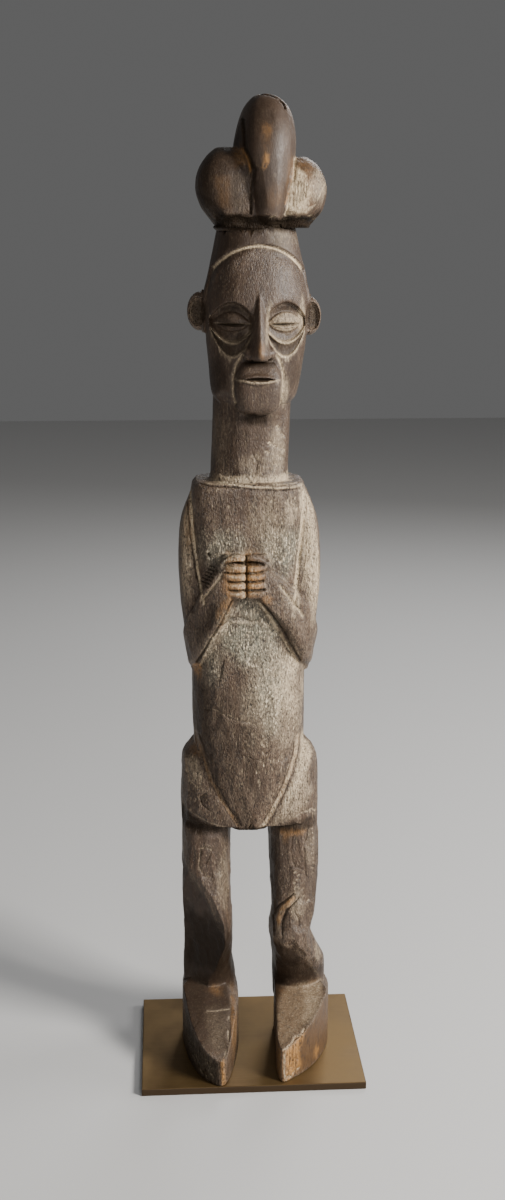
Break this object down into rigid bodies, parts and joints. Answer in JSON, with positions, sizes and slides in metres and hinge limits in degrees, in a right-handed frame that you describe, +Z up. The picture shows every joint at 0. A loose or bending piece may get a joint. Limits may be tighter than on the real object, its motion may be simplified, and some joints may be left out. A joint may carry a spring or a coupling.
{
  "type": "standing carved wooden figure",
  "caption": "Slender standing wooden figure with bent knees, hands held together at the chest, a long neck and a lobed headdress, resting on a thin flat plate.",
  "frame": {"origin": "middle of the plate's underside", "axes": "+Z up through the figure, -Y the way the figure faces, +X to the right of someone who looks at its face"},
  "size_m": [0.147, 0.118, 0.6255],
  "materials": {
    "wood": "aged dark wood, dusty and worn, with a low sheen",
    "plate": "bronze-brown satin"
  },
  "bodies": {
    "root": {"figure": "wood", "base_plate": "plate"}
  },
  "joints": []
}
